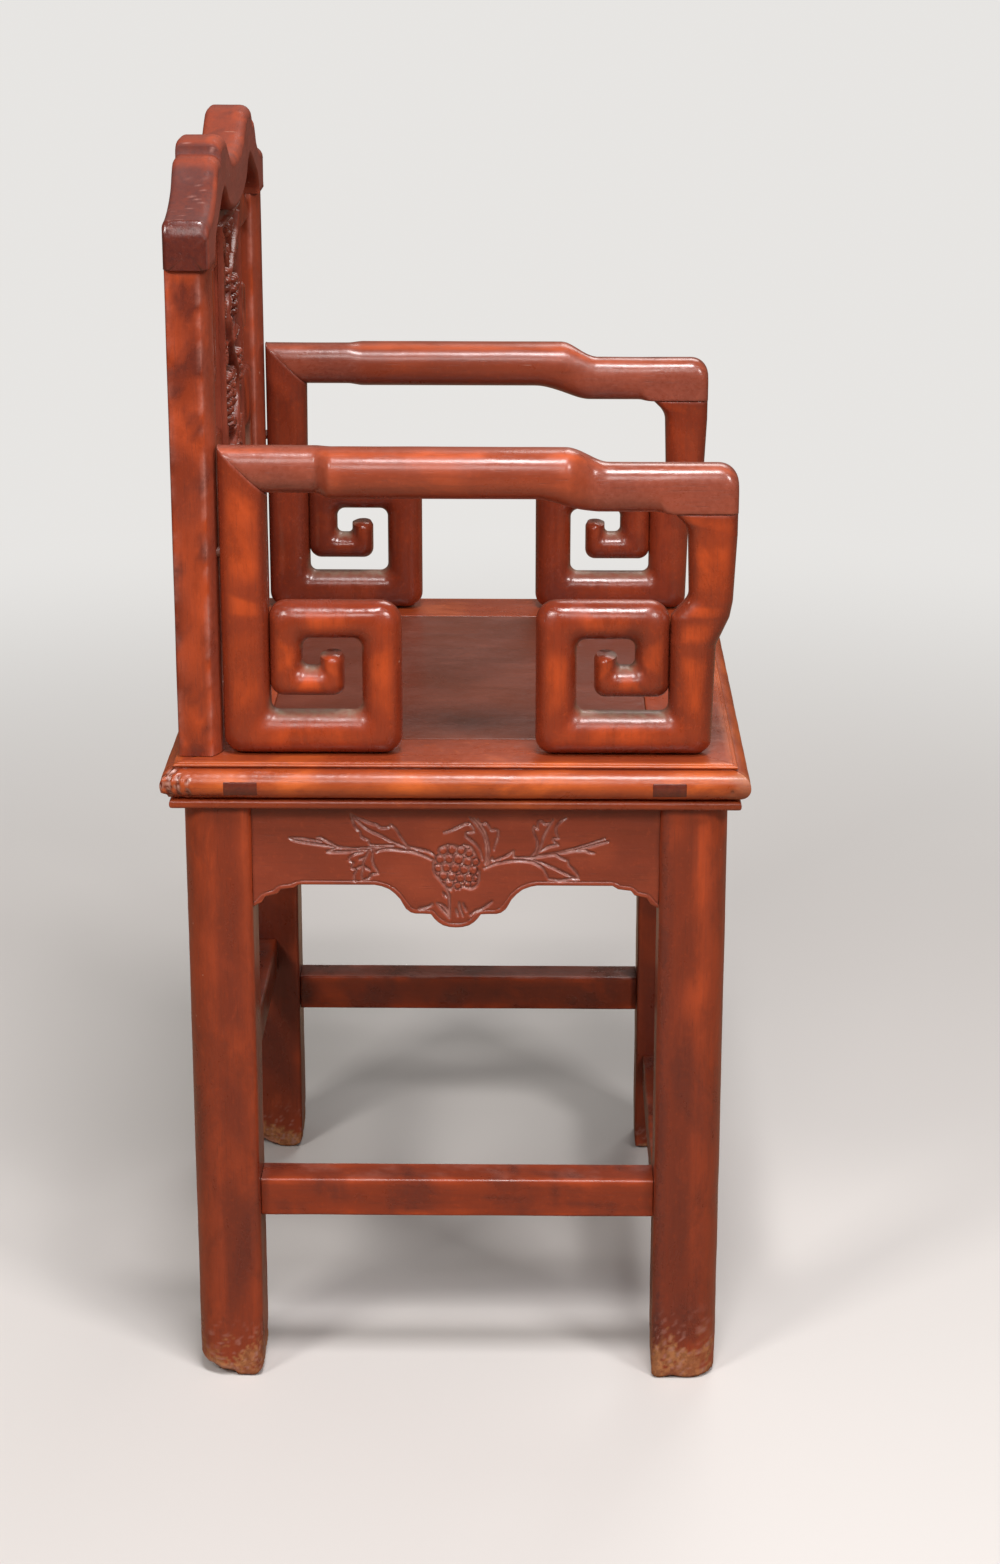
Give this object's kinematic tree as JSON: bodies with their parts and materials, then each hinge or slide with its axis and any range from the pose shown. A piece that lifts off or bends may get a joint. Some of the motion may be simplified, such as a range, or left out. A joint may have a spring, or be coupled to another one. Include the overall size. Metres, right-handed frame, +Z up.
{
  "type": "chinese armchair",
  "caption": "Square-built lacquered hardwood armchair with scroll-fret arms, a cloud-shaped crest rail, a carved back, a framed panel seat, shaped aprons and stepped stretchers.",
  "frame": {"origin": "on the floor, midway between the sides and midway between the seat's front and rear edges", "axes": "+Z up, the chair faces -Y, and the sitter's right arm is at -X"},
  "size_m": [0.5, 0.43, 0.9343],
  "materials": {
    "apron_front": "dark red-brown lacquer",
    "apron_left": "dark red-brown lacquer",
    "apron_rear": "dark red-brown lacquer",
    "apron_right": "dark red-brown lacquer",
    "arm_front_scroll_left": "red-brown lacquer, worn satin",
    "arm_front_scroll_right": "red-brown lacquer, worn satin",
    "arm_peg_front_left": "bare wood",
    "arm_peg_front_right": "bare wood",
    "arm_peg_rear_left": "bare wood",
    "arm_peg_rear_right": "bare wood",
    "arm_rail_left": "worn red-brown lacquer",
    "arm_rail_right": "worn red-brown lacquer",
    "arm_rear_scroll_left": "red-brown lacquer, worn satin",
    "arm_rear_scroll_right": "red-brown lacquer, worn satin",
    "back_bracket_lower_left": "red-brown lacquer, worn satin",
    "back_bracket_lower_right": "red-brown lacquer, worn satin",
    "back_bracket_upper_left": "red-brown lacquer, worn satin",
    "back_bracket_upper_right": "red-brown lacquer, worn satin",
    "back_post_left": "worn red-brown lacquer",
    "back_post_right": "worn red-brown lacquer",
    "back_splat": "red-brown lacquer, worn satin",
    "crest_rail": "dark red-brown lacquer",
    "leg_front_left": "red-brown lacquer, worn satin",
    "leg_front_right": "red-brown lacquer, worn satin",
    "leg_rear_left": "red-brown lacquer, worn satin",
    "leg_rear_right": "red-brown lacquer, worn satin",
    "seat_batten_left": "dark red-brown lacquer",
    "seat_batten_right": "dark red-brown lacquer",
    "seat_panel": "dull red-brown lacquer",
    "seat_rail_front": "worn red-brown lacquer",
    "seat_rail_left": "worn red-brown lacquer",
    "seat_rail_rear": "worn red-brown lacquer",
    "seat_rail_right": "worn red-brown lacquer",
    "stretcher_front": "dark red-brown lacquer",
    "stretcher_left": "dark red-brown lacquer",
    "stretcher_rear": "dark red-brown lacquer",
    "stretcher_right": "dark red-brown lacquer"
  },
  "bodies": {
    "root": {"apron_front": "apron_front", "apron_left": "apron_left", "apron_rear": "apron_rear", "apron_right": "apron_right", "arm_front_scroll_left": "arm_front_scroll_left", "arm_front_scroll_right": "arm_front_scroll_right", "arm_peg_front_left": "arm_peg_front_left", "arm_peg_front_right": "arm_peg_front_right", "arm_peg_rear_left": "arm_peg_rear_left", "arm_peg_rear_right": "arm_peg_rear_right", "arm_rail_left": "arm_rail_left", "arm_rail_right": "arm_rail_right", "arm_rear_scroll_left": "arm_rear_scroll_left", "arm_rear_scroll_right": "arm_rear_scroll_right", "back_bracket_lower_left": "back_bracket_lower_left", "back_bracket_lower_right": "back_bracket_lower_right", "back_bracket_upper_left": "back_bracket_upper_left", "back_bracket_upper_right": "back_bracket_upper_right", "back_post_left": "back_post_left", "back_post_right": "back_post_right", "back_splat": "back_splat", "crest_rail": "crest_rail", "leg_front_left": "leg_front_left", "leg_front_right": "leg_front_right", "leg_rear_left": "leg_rear_left", "leg_rear_right": "leg_rear_right", "seat_batten_left": "seat_batten_left", "seat_batten_right": "seat_batten_right", "seat_panel": "seat_panel", "seat_rail_front": "seat_rail_front", "seat_rail_left": "seat_rail_left", "seat_rail_rear": "seat_rail_rear", "seat_rail_right": "seat_rail_right", "stretcher_front": "stretcher_front", "stretcher_left": "stretcher_left", "stretcher_rear": "stretcher_rear", "stretcher_right": "stretcher_right"}
  },
  "joints": []
}
